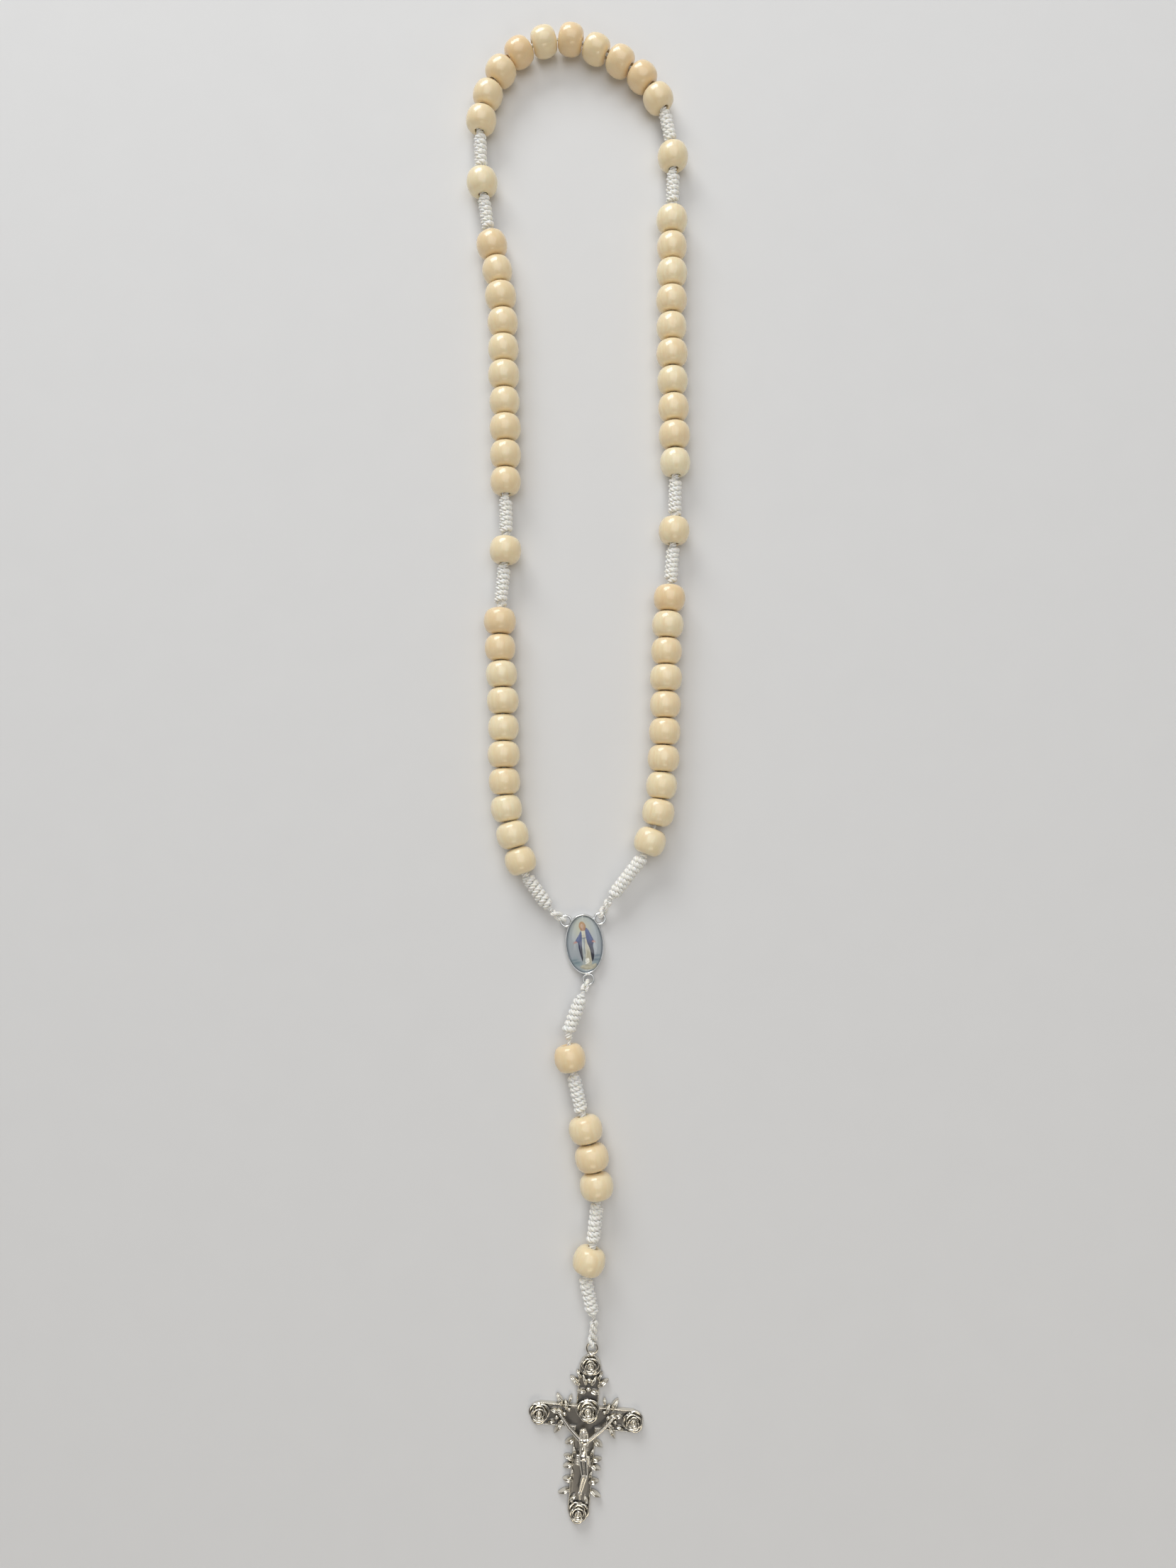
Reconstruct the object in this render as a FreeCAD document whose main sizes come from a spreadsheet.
import FreeCAD, Part
import math
import os

import Sketcher
from FreeCAD import Placement, Rotation, Vector

# A corded rosary of wooden beads, lying flat. Millimetres, +Z up.
# The origin is the centre of the medal's back face, on the table. +Y runs up the loop, +X to the right.

doc = FreeCAD.newDocument("rosary")

# ---------------------------------------------------------------- driving dimensions

SIZES = {
    "bead_diameter": 8.4,
    "bead_bore": 2.5,
    "bead_end_flat": 3.3,
    "bead_belly_radius": 5.2,
    "decade_1_bead_length": 6.9,
    "decade_2_bead_length": 7.1,
    "decade_3_bead_length": 6.75,
    "decade_4_bead_length": 7.15,
    "decade_5_bead_length": 6.95,
    "single_bead_length": 7.2,
    "drop_bead_length": 7.0,
    "decade_1_pitch": 7.153,
    "decade_2_pitch": 7.384,
    "decade_3_pitch": 7.6,
    "decade_4_pitch": 7.57,
    "decade_5_pitch": 7.18,
    "cord_diameter": 1.1,
    "cord_height": 4.05,
    "knot_diameter": 3.6,
    "knot_end_round": 1.2,
    "bead_to_knot": 0.6,
    "cord_meets_knot": 0.2,
    "cord_clears_hinge": 0.45,
    "medal_width": 10.3,
    "medal_height": 15.8,
    "medal_thickness": 2.2,
    "medal_rim": 0.5,
    "medal_recess": 0.65,
    "picture_thickness": 0.25,
    "dome_rise": 0.95,
    "ring_radius": 1.375,
    "ring_wire": 0.65,
    "ring_height": 1.6,
    "hook_strand_spread": 1.3,
    "hook_meets_knot": 0.45,
    "hook_clearance": 0.06,
    "cross_thickness": 1.5,
    "cross_plate_width": 5.6,
    "cross_arm_reach": 12.1,
    "cross_top_reach": 12.9,
    "cross_foot_reach": 23.3,
    "cross_ring_reach": 17.3,
    "rose_diameter": 5.6,
    "rose_height": 2.7,
    "centre_rose_height": 3.0,
    "centre_rose_rise": 1.8,
    "leaf_length": 3.5,
    "leaf_width": 1.6,
    "leaf_height": 2.1,
}

dims = doc.addObject("Spreadsheet::Sheet", "dims")
for row, (name, value) in enumerate(SIZES.items(), 1):
    dims.set(f"A{row}", name)
    dims.set(f"B{row}", str(value))
    dims.setAlias(f"B{row}", name)
doc.recompute()


def size(name):
    return float(dims.get(name))


# ---------------------------------------------------------------- centre-lines of the cord

HEIGHT = size("cord_height")
MEDAL_KNOT_HEIGHT = 3.1
DROP_KNOT_HEIGHT = 2.7

# The loop, from the medal up its left side, round the top and down its right side.
LOOP_ROUTE = [
    (-8.5, 8.3, MEDAL_KNOT_HEIGHT), (-14.8, 16.0, HEIGHT), (-17.6, 24.0, HEIGHT), (-20.8, 35.0, HEIGHT),
    (-21.4, 49.5, HEIGHT), (-21.6, 64.0, HEIGHT), (-22.6, 79.0, HEIGHT), (-22.6, 91.5, HEIGHT),
    (-21.0, 105.0, HEIGHT), (-21.3, 122.0, HEIGHT), (-21.4, 138.5, HEIGHT), (-22.0, 154.0, HEIGHT),
    (-22.2, 169.0, HEIGHT), (-23.8, 183.5, HEIGHT), (-27.1, 197.0, HEIGHT), (-28.3, 208.5, HEIGHT),
    (-29.3, 222.5, HEIGHT), (-26.9, 234.5, HEIGHT), (-18.9, 246.6, HEIGHT), (-5.2, 250.6, HEIGHT),
    (6.3, 245.2, HEIGHT), (16.3, 238.9, HEIGHT), (22.7, 228.4, HEIGHT), (24.6, 215.0, HEIGHT),
    (23.9, 199.5, HEIGHT), (23.9, 185.5, HEIGHT), (23.6, 170.0, HEIGHT), (23.8, 154.0, HEIGHT),
    (24.2, 139.0, HEIGHT), (24.6, 123.0, HEIGHT), (24.0, 108.8, HEIGHT), (22.7, 92.3, HEIGHT),
    (21.8, 78.5, HEIGHT), (21.5, 63.0, HEIGHT), (20.9, 47.5, HEIGHT), (19.5, 33.2, HEIGHT),
    (15.4, 21.9, HEIGHT), (6.3, 11.2, MEDAL_KNOT_HEIGHT),
]

# The drop, from the medal's lower ring down to the crucifix.
DROP_ROUTE = [
    (-0.1, -12.0, DROP_KNOT_HEIGHT), (-4.9, -23.6, HEIGHT), (-3.6, -30.2, HEIGHT), (-0.9, -42.4, HEIGHT),
    (1.7, -53.0, HEIGHT), (3.7, -64.5, HEIGHT), (1.9, -78.3, HEIGHT), (-0.2, -84.2, HEIGHT),
    (2.5, -95.1, HEIGHT),
]

ARC_SHARE = 0.45


class Route:
    """A cord's centre-line: straight runs joined by tangent arcs, measured by the distance along it."""

    def __init__(self, name, points):
        points = [Vector(*p) for p in points]
        self.pieces = []
        start = points[0]
        for before, corner, after in zip(points, points[1:], points[2:]):
            into = (corner - before).normalize()
            out = (after - corner).normalize()
            turn = into.getAngle(out)
            reach = ARC_SHARE * min(before.distanceToPoint(corner), corner.distanceToPoint(after))
            radius = reach / math.tan(turn / 2)
            print(f"{name} turns {math.degrees(turn):5.1f} degrees on a radius of {radius:7.1f}")
            arc_start = corner - into * reach
            arc_end = corner + out * reach
            middle = corner + (out - into).normalize() * (radius / math.cos(turn / 2) - radius)
            self.add_run(start, arc_start)
            self.pieces.append((Part.Arc(arc_start, middle, arc_end), radius * turn))
            start = arc_end
        self.add_run(start, points[-1])
        self.length = sum(length for _, length in self.pieces)

    def add_run(self, start, end):
        self.pieces.append((Part.LineSegment(start, end), start.distanceToPoint(end)))

    def spans(self, first, last):
        """(curve, parameter from, parameter to) for each piece between two distances."""
        found = []
        passed = 0.0
        for curve, length in self.pieces:
            low = max(first - passed, 0.0)
            high = min(last - passed, length)
            if high - low > 1e-4:
                found.append((curve, curve.parameterAtDistance(low, curve.FirstParameter),
                              curve.parameterAtDistance(high, curve.FirstParameter)))
            passed += length
        return found

    def wire(self, first, last):
        return Part.Wire([curve.toShape(low, high) for curve, low, high in self.spans(first, last)])

    def at(self, distance):
        """(the point, the direction) at a distance along the route."""
        distance = min(max(distance, 1e-3), self.length - 1e-3)
        curve, low, _ = self.spans(distance, self.length)[0]
        return curve.value(low), Vector(*curve.tangent(low)[0])


loop_route = Route("loop", LOOP_ROUTE)
drop_route = Route("drop", DROP_ROUTE)

# ---------------------------------------------------------------- makers of beads, knots and cords

parts = []


def keep(obj, label):
    obj.Label = label
    parts.append(obj)
    return obj


def origin_feature(body, role):
    return next(f for f in body.Origin.OriginFeatures if f.Role == role)


def turned_body(name, profile):
    """A body turned about its own X axis from a half-section drawn by profile(sketch)."""
    body = doc.addObject("PartDesign::Body", name)
    sketch = body.newObject("Sketcher::SketchObject", name + "_section")
    sketch.AttachmentSupport = [(origin_feature(body, "XY_Plane"), "")]
    sketch.MapMode = "FlatFace"
    profile(sketch)
    turn = body.newObject("PartDesign::Revolution", name + "_turned")
    turn.Profile = sketch
    turn.ReferenceAxis = (sketch, ["H_Axis"])
    turn.Angle = 360.0
    body.Tip = turn
    return body


def place_along(obj, point, direction):
    obj.Placement = Placement(point, Rotation(Vector(1, 0, 0), direction))


def bead_profile(length_name, diameter_factor):
    """A barrel bead's half-section: bore, flat ends, rounded corners and a belly, all tangent."""
    half = size(length_name) / 2
    bore = size("bead_bore") / 2
    flat = size("bead_end_flat") / 2
    outer = size("bead_diameter") / 2 * diameter_factor
    belly = size("bead_belly_radius")
    drop = belly - outer
    corner = (belly ** 2 - half ** 2 - (flat + drop) ** 2) / (2 * (belly - half))
    centre_x = half - corner
    lean = math.atan2(flat + drop, centre_x)
    meet = Vector(belly * math.cos(lean), belly * math.sin(lean) - drop, 0)

    def draw(sketch):
        mid_corner = lean / 2
        bulge = Vector(centre_x + corner * math.cos(mid_corner), flat + corner * math.sin(mid_corner), 0)
        mirror = lambda p: Vector(-p.x, p.y, 0)
        right_low, right_high = Vector(half, bore, 0), Vector(half, flat, 0)
        sketch.addGeometry(Part.LineSegment(mirror(right_low), right_low))
        sketch.addGeometry(Part.LineSegment(right_low, right_high))
        sketch.addGeometry(Part.Arc(right_high, bulge, meet))
        sketch.addGeometry(Part.Arc(meet, Vector(0, outer, 0), mirror(meet)))
        sketch.addGeometry(Part.Arc(mirror(meet), mirror(bulge), mirror(right_high)))
        sketch.addGeometry(Part.LineSegment(mirror(right_high), mirror(right_low)))
        add = lambda *a: sketch.addConstraint(Sketcher.Constraint(*a))
        add("Coincident", 0, 2, 1, 1)
        add("Tangent", 1, 2, 2, 1)
        add("Tangent", 2, 2, 3, 1)
        add("Tangent", 3, 2, 4, 1)
        add("Tangent", 4, 2, 5, 1)
        add("Coincident", 5, 2, 0, 1)
        add("Horizontal", 0)
        add("Vertical", 1)
        add("Vertical", 5)
        add("PointOnObject", 3, 3, -2)
        named = {
            "half_length": (("DistanceX", -1, 1, 0, 2, half), f"dims.{length_name} / 2"),
            "half_length_left": (("DistanceX", 0, 1, -1, 1, half), f"dims.{length_name} / 2"),
            "bore_radius": (("DistanceY", -1, 1, 0, 2, bore), "dims.bead_bore / 2"),
            "flat_radius": (("DistanceY", -1, 1, 1, 2, flat), "dims.bead_end_flat / 2"),
            "belly_radius": (("Radius", 3, belly), "dims.bead_belly_radius"),
            "belly_drop": (("DistanceY", 3, 3, -1, 1, drop),
                           f"dims.bead_belly_radius - dims.bead_diameter / 2 * {diameter_factor:.4f}"),
        }
        for name, (constraint, formula) in named.items():
            number = add(*constraint)
            sketch.renameConstraint(number, name)
            sketch.setExpression(f"Constraints.{name}", formula)

    return draw, outer


def make_bead(name, length_name, diameter_factor, route, distance):
    """A bead on the route, resting on the table with its own belly."""
    draw, outer = bead_profile(length_name, diameter_factor)
    bead = turned_body(name, draw)
    point, direction = route.at(distance)
    place_along(bead, Vector(point.x, point.y, outer), Vector(direction.x, direction.y, 0))
    return bead


def knot_profile(length_name):
    """A wrapped knot's half-section: a solid barrel with rounded ends."""
    half = size(length_name) / 2
    outer = size("knot_diameter") / 2
    soft = size("knot_end_round")

    def draw(sketch):
        diagonal = soft * math.cos(math.pi / 4)
        mirror = lambda p: Vector(-p.x, p.y, 0)
        foot, flat_edge, side_edge = Vector(half, 0, 0), Vector(half, outer - soft, 0), Vector(half - soft, outer, 0)
        bulge = Vector(half - soft + diagonal, outer - soft + diagonal, 0)
        sketch.addGeometry(Part.LineSegment(mirror(foot), foot))
        sketch.addGeometry(Part.LineSegment(foot, flat_edge))
        sketch.addGeometry(Part.Arc(flat_edge, bulge, side_edge))
        sketch.addGeometry(Part.LineSegment(side_edge, mirror(side_edge)))
        sketch.addGeometry(Part.Arc(mirror(side_edge), mirror(bulge), mirror(flat_edge)))
        sketch.addGeometry(Part.LineSegment(mirror(flat_edge), mirror(foot)))
        add = lambda *a: sketch.addConstraint(Sketcher.Constraint(*a))
        add("Coincident", 0, 2, 1, 1)
        add("Tangent", 1, 2, 2, 1)
        add("Tangent", 2, 2, 3, 1)
        add("Tangent", 3, 2, 4, 1)
        add("Tangent", 4, 2, 5, 1)
        add("Coincident", 5, 2, 0, 1)
        add("PointOnObject", 0, 2, -1)
        add("PointOnObject", 0, 1, -1)
        add("Vertical", 1)
        add("Vertical", 5)
        named = {
            "half_length": (("DistanceX", -1, 1, 0, 2, half), f"dims.{length_name} / 2"),
            "half_length_left": (("DistanceX", 0, 1, -1, 1, half), f"dims.{length_name} / 2"),
            "outer_radius": (("DistanceY", -1, 1, 3, 1, outer), "dims.knot_diameter / 2"),
            "end_round": (("Radius", 2, soft), "dims.knot_end_round"),
            "end_round_left": (("Radius", 4, soft), "dims.knot_end_round"),
        }
        for name, (constraint, formula) in named.items():
            number = add(*constraint)
            sketch.renameConstraint(number, name)
            sketch.setExpression(f"Constraints.{name}", formula)

    return draw


def make_knot(label, route, first, last):
    """A knot between two distances along the route. Its length gets a cell of its own."""
    start, _ = route.at(first)
    end, _ = route.at(last)
    cell = label + "_length"
    row = len(SIZES) + 1
    SIZES[cell] = round(start.distanceToPoint(end), 3)
    dims.set(f"A{row}", cell)
    dims.set(f"B{row}", str(SIZES[cell]))
    dims.setAlias(f"B{row}", cell)
    doc.recompute([dims])
    knot = turned_body(label, knot_profile(cell))
    place_along(knot, (start + end) / 2, end - start)
    return keep(knot, label)


def make_cord(label, wire):
    """A cord's tube swept along a wire, with its volume compared with its section times its length."""
    spine = doc.addObject("Part::Feature", label + "_line")
    spine.Shape = wire
    section = doc.addObject("Part::Circle", label + "_section")
    section.setExpression("Radius", "dims.cord_diameter / 2")
    edge = wire.OrderedEdges[0]
    at_start = edge.FirstParameter if edge.Orientation == "Forward" else edge.LastParameter
    direction = edge.tangentAt(at_start)
    if edge.Orientation != "Forward":
        direction = direction * -1
    section.Placement = Placement(edge.valueAt(at_start), Rotation(Vector(0, 0, 1), direction))
    tube = doc.addObject("Part::Sweep", label)
    tube.Sections = [section]
    tube.Spine = (spine, [f"Edge{n + 1}" for n in range(len(wire.Edges))])
    tube.Solid = True
    tube.Frenet = False
    doc.recompute([spine, section, tube])
    expected = math.pi * (size("cord_diameter") / 2) ** 2 * wire.Length
    print(f"{label}: {wire.Length:.1f} mm long, volume {tube.Shape.Volume / expected:.4f} of section times length")
    return keep(tube, label)


def cord_between(label, route, first, last):
    return make_cord(label, route.wire(first, last))


MEET = size("cord_meets_knot")
CLEAR = size("cord_clears_hinge")
GAP = size("bead_to_knot")


def varied(number):
    """A small deterministic spread of bead diameters, because turned beads differ a little."""
    return 1.0 + 0.022 * math.sin(2.4 * number)


# ---------------------------------------------------------------- the loop

LEFT_MEDAL_KNOT = 12.0
KNOT_LENGTHS = [11.1, 10.6, 9.8, 9.9, 9.3, 9.9, 10.4, 10.2]
KNOT_NAMES = ["knot_below_bead_1", "knot_above_bead_1", "knot_below_bead_2", "knot_above_bead_2",
              "knot_above_bead_3", "knot_below_bead_3", "knot_above_bead_4", "knot_below_bead_4"]
# Knots whose following cord belongs to the next body of the loop, or whose leading cord does.
HINGE_AFTER = {0, 2}
HINGE_BEFORE = {5, 7}
LAST_BEAD_SLACK = 0.8

make_knot("left_medal_knot", loop_route, 0.0, LEFT_MEDAL_KNOT)
distance = LEFT_MEDAL_KNOT
cord_start = distance + MEET
single = 0
for decade in range(1, 6):
    length_name = f"decade_{decade}_bead_length"
    half = size(length_name) / 2
    pitch = size(f"decade_{decade}_pitch")
    first_bead = distance + GAP + half
    beads = []
    for number in range(10):
        slack = LAST_BEAD_SLACK if decade == 5 and number == 9 else 0.0
        factor = varied(10 * decade + number)
        name = f"decade_{decade}_bead_{number + 1}"
        beads.append(make_bead(name, length_name, factor, loop_route, first_bead + number * pitch + slack))
    group = doc.addObject("Part::Compound", f"decade_{decade}_beads")
    group.Links = beads
    keep(group, f"decade_{decade}_beads")
    distance = first_bead + 9 * pitch + slack + half + GAP
    cord_between(f"decade_{decade}_cord", loop_route, cord_start, distance - MEET)
    if decade == 5:
        break
    for side in (0, 1):
        index = 2 * (decade - 1) + side
        end = distance + KNOT_LENGTHS[index]
        make_knot(KNOT_NAMES[index], loop_route, distance, end)
        cord_start = end + (CLEAR if index in HINGE_AFTER else MEET)
        distance = end
        if side == 0:
            single += 1
            half = size("single_bead_length") / 2
            centre = distance + GAP + half
            bead = make_bead(f"our_father_bead_{single}", "single_bead_length", varied(3 * single),
                             loop_route, centre)
            keep(bead, f"our_father_bead_{single}")
            distance = centre + half + GAP
            clear_end = CLEAR if index + 1 in HINGE_BEFORE else MEET
            cord_between(f"bead_{single}_cord", loop_route, cord_start, distance - clear_end)
make_knot("right_medal_knot", loop_route, distance, loop_route.length)

# ---------------------------------------------------------------- the drop

# (label, diameter factor, distance) of each bead, and (label, first, last) of each knot.
DROP_BEADS = [
    ("drop_bead_1", 0.97, 18.2), ("drop_bead_2", 1.04, 36.7), ("drop_bead_3", 1.05, 44.0),
    ("drop_bead_4", 1.04, 51.25), ("drop_bead_5", 1.0, 70.2),
]
DROP_KNOTS = [
    ("drop_knot_1", 0.0, 11.6), ("drop_knot_2", 22.4, 32.4), ("drop_knot_3", 55.6, 65.9),
    ("drop_knot_4", 74.5, drop_route.length),
]
for label, factor, place in DROP_BEADS:
    keep(make_bead(label, "drop_bead_length", factor, drop_route, place), label)
for label, first, last in DROP_KNOTS:
    make_knot(label, drop_route, first, last)
for label, above, below in (("drop_upper_cord", 0, 1), ("drop_middle_cord", 1, 2), ("drop_lower_cord", 2, 3)):
    cord_between(label, drop_route, DROP_KNOTS[above][2] + CLEAR, DROP_KNOTS[below][1] - MEET)

# ---------------------------------------------------------------- the medal

MEDAL_TURN = 4.0
UPPER_RING = Vector(4.45, 6.3, size("ring_height"))
LOWER_RING = Vector(0.35, -9.25, size("ring_height"))
medal_place = Placement(Vector(0, 0, 0), Rotation(Vector(0, 0, 1), MEDAL_TURN))


def oval_slab(name, inset, base, thickness):
    """An oval slab as large as the medal's outline less an inset, standing at a height formula."""
    outline = doc.addObject("Part::Ellipse", name + "_outline")
    outline.setExpression("MajorRadius", f"dims.medal_height / 2 - {inset}")
    outline.setExpression("MinorRadius", f"dims.medal_width / 2 - {inset}")
    outline.Placement.Rotation = Rotation(Vector(0, 0, 1), 90)
    outline.setExpression("Placement.Base.z", base)
    slab = doc.addObject("Part::Extrusion", name)
    slab.Base = outline
    slab.DirMode = "Custom"
    slab.Dir = Vector(0, 0, 1)
    slab.setExpression("LengthFwd", thickness)
    slab.Solid = True
    return slab


def ring(name, centre, radius="dims.ring_radius", wire="dims.ring_wire"):
    torus = doc.addObject("Part::Torus", name)
    torus.setExpression("Radius1", radius)
    torus.setExpression("Radius2", wire + " / 2")
    torus.Placement.Base = centre
    return torus


plate = oval_slab("medal_plate", "0", "0", "dims.medal_thickness")
# The well is cut deeper than it is, so that it runs out through the open top.
well = oval_slab("medal_well", "dims.medal_rim", "dims.medal_thickness - dims.medal_recess",
                 "dims.medal_recess * 2")
rings = [ring("left_ring", Vector(-UPPER_RING.x, UPPER_RING.y, UPPER_RING.z)), ring("right_ring", UPPER_RING),
         ring("lower_ring", LOWER_RING)]
joined = doc.addObject("Part::MultiFuse", "medal_joined")
joined.Shapes = [plate] + rings
medal_frame = doc.addObject("Part::Cut", "medal_frame")
medal_frame.Base = joined
medal_frame.Tool = well
keep(medal_frame, "medal_frame")

# Clearance between the rim and the picture and dome inside it.
EDGE_PLAY = "0.03"
picture = oval_slab("medal_picture", f"(dims.medal_rim + {EDGE_PLAY})",
                    "dims.medal_thickness - dims.medal_recess", "dims.picture_thickness")
keep(picture, "medal_picture")

dome = doc.addObject("Part::Ellipsoid", "medal_dome")
dome.setExpression("Radius1", "dims.dome_rise")
dome.setExpression("Radius2", f"dims.medal_width / 2 - dims.medal_rim - {EDGE_PLAY}")
dome.setExpression("Radius3", f"dims.medal_height / 2 - dims.medal_rim - {EDGE_PLAY}")
dome.Angle1 = 0
dome.Angle2 = 90
dome.setExpression("Placement.Base.z",
                   "dims.medal_thickness - dims.medal_recess + dims.picture_thickness")
keep(dome, "medal_dome")

# ---------------------------------------------------------------- the crucifix

CROSS_PLACE = Placement(Vector(0.45, -120.1, 0), Rotation(Vector(0, 0, 1), -5.0))
ROSE_TAPER = 0.7


def bar(name, width, depth, x, y):
    """A flat bar of the cross, centred at x and y formulas."""
    box = doc.addObject("Part::Box", name)
    box.setExpression("Length", width)
    box.setExpression("Width", depth)
    box.setExpression("Height", "dims.cross_thickness")
    box.setExpression("Placement.Base.x", f"{x} - ({width}) / 2")
    box.setExpression("Placement.Base.y", f"{y} - ({depth}) / 2")
    return box


def rose(name, x, y, height):
    """A flower boss: a low cone that stands on the table beside the plate and rises above it."""
    boss = doc.addObject("Part::Cone", name)
    boss.setExpression("Radius1", "dims.rose_diameter / 2")
    boss.setExpression("Radius2", f"dims.rose_diameter / 2 * {ROSE_TAPER}")
    boss.setExpression("Height", height)
    boss.setExpression("Placement.Base.x", x)
    boss.setExpression("Placement.Base.y", y)
    return boss


def leaf(name, x, y, angle):
    """A pointed leaf lying half over the plate's edge."""
    blade = doc.addObject("Part::Ellipsoid", name)
    blade.setExpression("Radius1", "dims.leaf_height / 2")
    blade.setExpression("Radius2", "dims.leaf_length / 2")
    blade.setExpression("Radius3", "dims.leaf_width / 2")
    blade.Placement = Placement(Vector(x, y, size("leaf_height") / 2), Rotation(Vector(0, 0, 1), angle))
    return blade


shaft = bar("cross_shaft", "dims.cross_plate_width", "dims.cross_top_reach + dims.cross_foot_reach",
            "0", "(dims.cross_top_reach - dims.cross_foot_reach) / 2")
arms = bar("cross_arms", "2 * dims.cross_arm_reach", "dims.cross_plate_width", "0", "0")
roses = [
    rose("left_rose", "-dims.cross_arm_reach", "0", "dims.rose_height"),
    rose("right_rose", "dims.cross_arm_reach", "0", "dims.rose_height"),
    rose("top_rose", "0", "dims.cross_top_reach", "dims.rose_height"),
    rose("foot_rose", "0", "-dims.cross_foot_reach", "dims.rose_height"),
    rose("centre_rose", "0", "dims.centre_rose_rise", "dims.centre_rose_height"),
]
# Leaves on the right-hand side, as (x, y, angle), each with its mirror image on the left.
LEAVES = [(7.0, 3.2, 62.0), (6.9, -3.1, -58.0), (3.3, 8.3, 35.0), (3.0, -6.3, -30.0), (3.1, -10.4, 12.0),
          (3.1, -12.0, -18.0), (3.1, -15.6, 4.0), (3.6, -18.4, -22.0)]
leaves = []
for number, (x, y, angle) in enumerate(LEAVES, 1):
    leaves.append(leaf(f"right_leaf_{number}", x, y, angle))
    leaves.append(leaf(f"left_leaf_{number}", -x, y, 180.0 - angle))
cross_ring = ring("cross_ring", Vector(0, 0, size("ring_height")))
cross_ring.setExpression("Placement.Base.y", "dims.cross_ring_reach")
crucifix = doc.addObject("Part::MultiFuse", "crucifix_cross")
crucifix.Shapes = [shaft, arms, cross_ring] + roses + leaves
keep(crucifix, "crucifix_cross")


def limb(name, start, end, thick_start, thick_end):
    """A tapered limb between two points."""
    start, end = Vector(*start), Vector(*end)
    cone = doc.addObject("Part::Cone", name)
    cone.Radius1 = thick_start
    cone.Radius2 = thick_end
    cone.Height = start.distanceToPoint(end)
    cone.Placement = Placement(start, Rotation(Vector(0, 0, 1), end - start))
    return cone


def lump(name, centre, along_x, along_y, along_z):
    egg = doc.addObject("Part::Ellipsoid", name)
    egg.Radius1 = along_z
    egg.Radius2 = along_x
    egg.Radius3 = along_y
    egg.Placement.Base = Vector(*centre)
    return egg


# The figure lies on the plate, with its arms raised to the arms of the cross.
TOP = size("cross_thickness")
figure = [
    lump("head", (-0.3, -2.9, TOP + 1.6), 0.85, 1.1, 0.95),
    limb("left_arm", (-0.9, -5.2, TOP + 0.75), (-7.0, 0.6, TOP + 0.6), 0.62, 0.4),
    limb("right_arm", (0.9, -5.2, TOP + 0.75), (7.0, 0.6, TOP + 0.6), 0.62, 0.4),
    lump("chest", (0.0, -6.0, TOP + 0.6), 1.55, 1.9, 1.1),
    lump("waist", (0.0, -8.2, TOP + 0.5), 1.2, 2.0, 0.9),
    lump("cloth", (0.0, -9.9, TOP + 0.55), 1.65, 1.6, 1.1),
    limb("left_leg", (-0.7, -10.5, TOP + 0.6), (-0.35, -18.6, TOP + 0.5), 0.85, 0.45),
    limb("right_leg", (0.7, -10.5, TOP + 0.6), (0.35, -18.6, TOP + 0.5), 0.85, 0.45),
    lump("feet", (0.0, -18.9, TOP + 0.5), 0.75, 1.1, 0.6),
]
figure_joined = doc.addObject("Part::MultiFuse", "figure_joined")
figure_joined.Shapes = figure
seat = doc.addObject("Part::MultiFuse", "seat")
seat.Shapes = [doc.copyObject(shaft), doc.copyObject(arms)] + [doc.copyObject(piece) for piece in roses + leaves]
corpus = doc.addObject("Part::Cut", "corpus")
corpus.Base = figure_joined
corpus.Tool = seat
keep(corpus, "corpus")

doc.recompute()
for obj in (medal_frame, picture, dome):
    obj.Placement = medal_place.multiply(obj.Placement)
for obj in (crucifix, corpus):
    obj.Placement = CROSS_PLACE

# ---------------------------------------------------------------- cord loops through the rings


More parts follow.
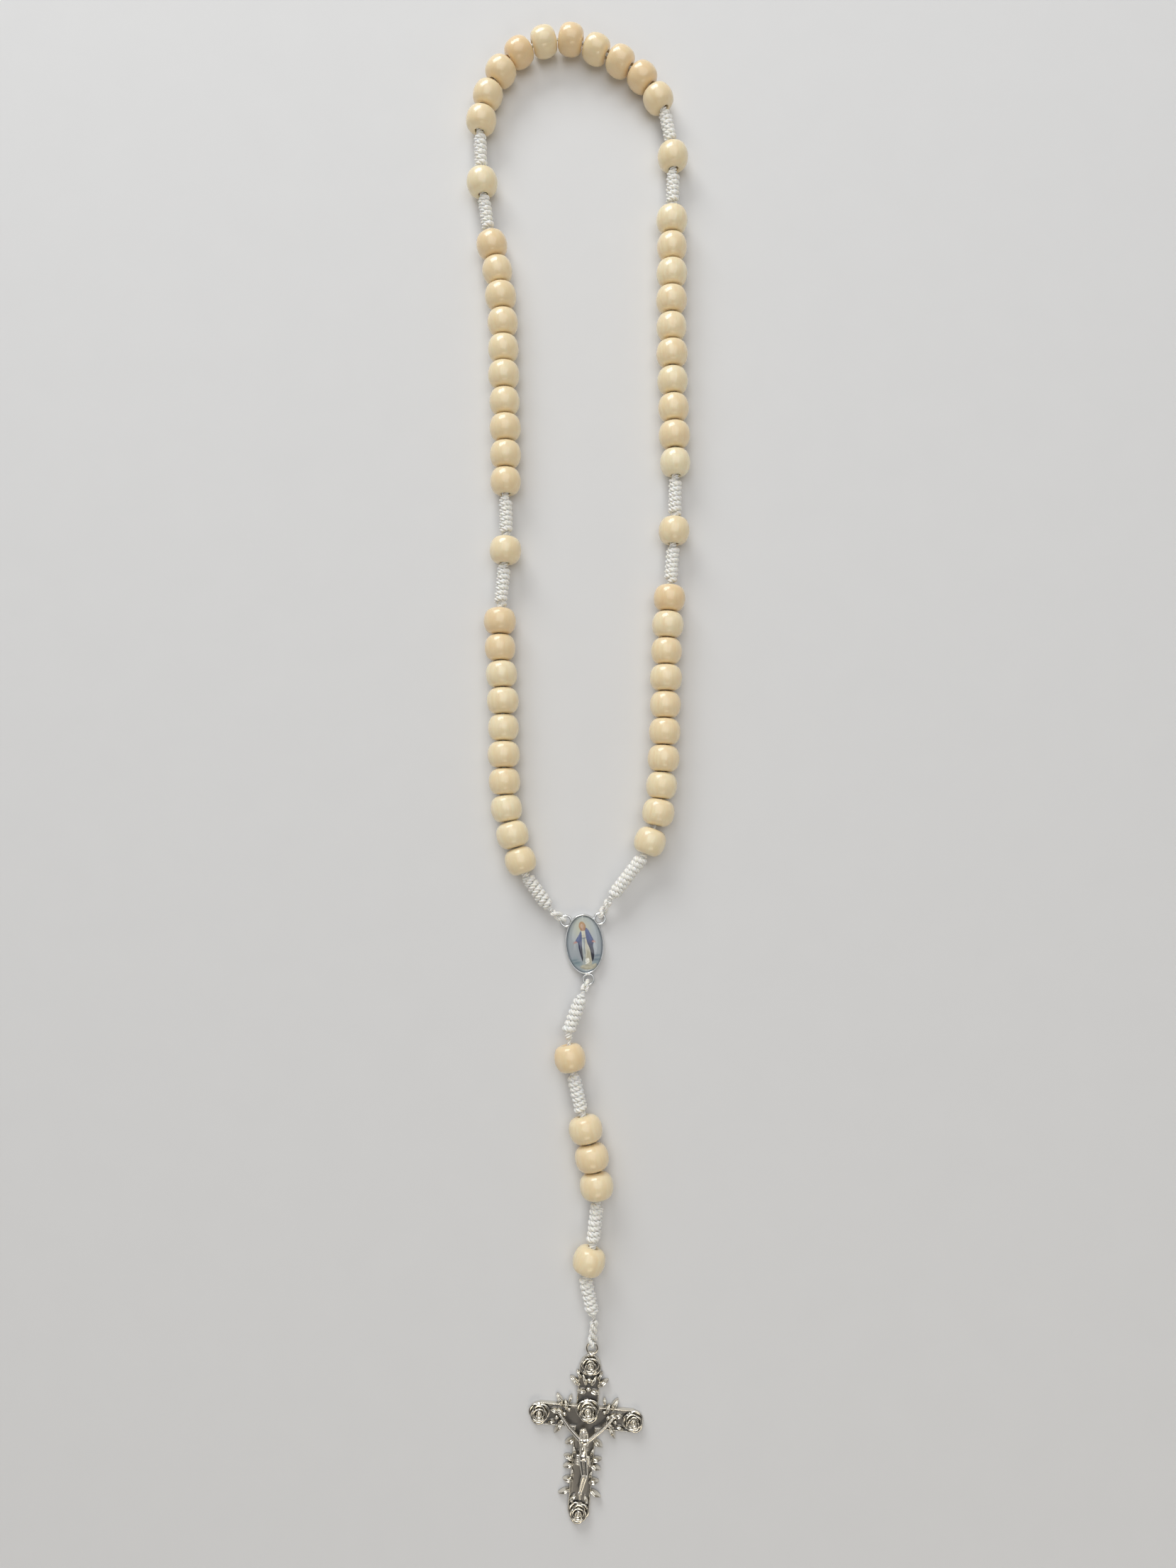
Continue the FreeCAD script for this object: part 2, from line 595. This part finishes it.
def hook_wire(knot_end, ring_centre, gap):
    """The loop from a knot's end round a ring's near wire and back, in one upright plane."""
    away = Vector(ring_centre.x - knot_end.x, ring_centre.y - knot_end.y, 0)
    wire_distance = away.Length - size("ring_radius")
    away.normalize()
    spread = size("hook_strand_spread") / 2
    radius = size("ring_wire") / 2 + size("hook_clearance") + size("cord_diameter") / 2
    centre = (wire_distance, ring_centre.z)

    def in_space(along, height):
        return Vector(knot_end.x + away.x * along, knot_end.y + away.y * along, height)

    def round_wire(angle):
        return in_space(centre[0] + radius * math.cos(angle), centre[1] + radius * math.sin(angle))

    upper, lower = (gap, knot_end.z + spread), (gap, knot_end.z - spread)
    touch = []
    for (along, height), side in ((upper, -1), (lower, 1)):
        reach = math.hypot(along - centre[0], height - centre[1])
        bearing = math.atan2(height - centre[1], along - centre[0]) % (2 * math.pi)
        touch.append(bearing + side * math.acos(radius / reach))
    first, last = touch[0], touch[1] - 2 * math.pi
    edges = [
        Part.LineSegment(in_space(*upper), round_wire(first)).toShape(),
        Part.Arc(round_wire(first), round_wire((first + last) / 2), round_wire(last)).toShape(),
        Part.LineSegment(round_wire(last), in_space(*lower)).toShape(),
    ]
    return Part.Wire(edges), in_space(*centre)


ring_places = {
    "left_medal_loop": (loop_route.at(0)[0], medal_place.multVec(rings[0].Placement.Base), CLEAR),
    "right_medal_loop": (loop_route.at(loop_route.length)[0], medal_place.multVec(UPPER_RING), CLEAR),
    "drop_loop": (drop_route.at(0)[0], medal_place.multVec(LOWER_RING), size("hook_meets_knot")),
    "crucifix_loop": (drop_route.at(drop_route.length)[0], CROSS_PLACE.multVec(cross_ring.Placement.Base), CLEAR),
}
for label, (knot_end, ring_centre, gap) in ring_places.items():
    wire, pivot = hook_wire(knot_end, ring_centre, gap)
    make_cord(label, wire)
    print(f"{label} turns about {pivot.x:.3f}, {pivot.y:.3f}, {pivot.z:.3f}")

# ---------------------------------------------------------------- checks and files

doc.recompute()
bad = [o.Name for o in doc.Objects if "Invalid" in o.State or "Error" in o.State]
bad += [p.Label for p in parts if p.Shape.isNull() or not p.Shape.isValid() or not p.Shape.Solids]
if bad:
    raise RuntimeError(f"these objects failed: {bad}")

os.makedirs("parts", exist_ok=True)
for piece in parts:
    piece.Shape.exportStep(f"parts/{piece.Label}.step")
print(len(parts), "parts written")
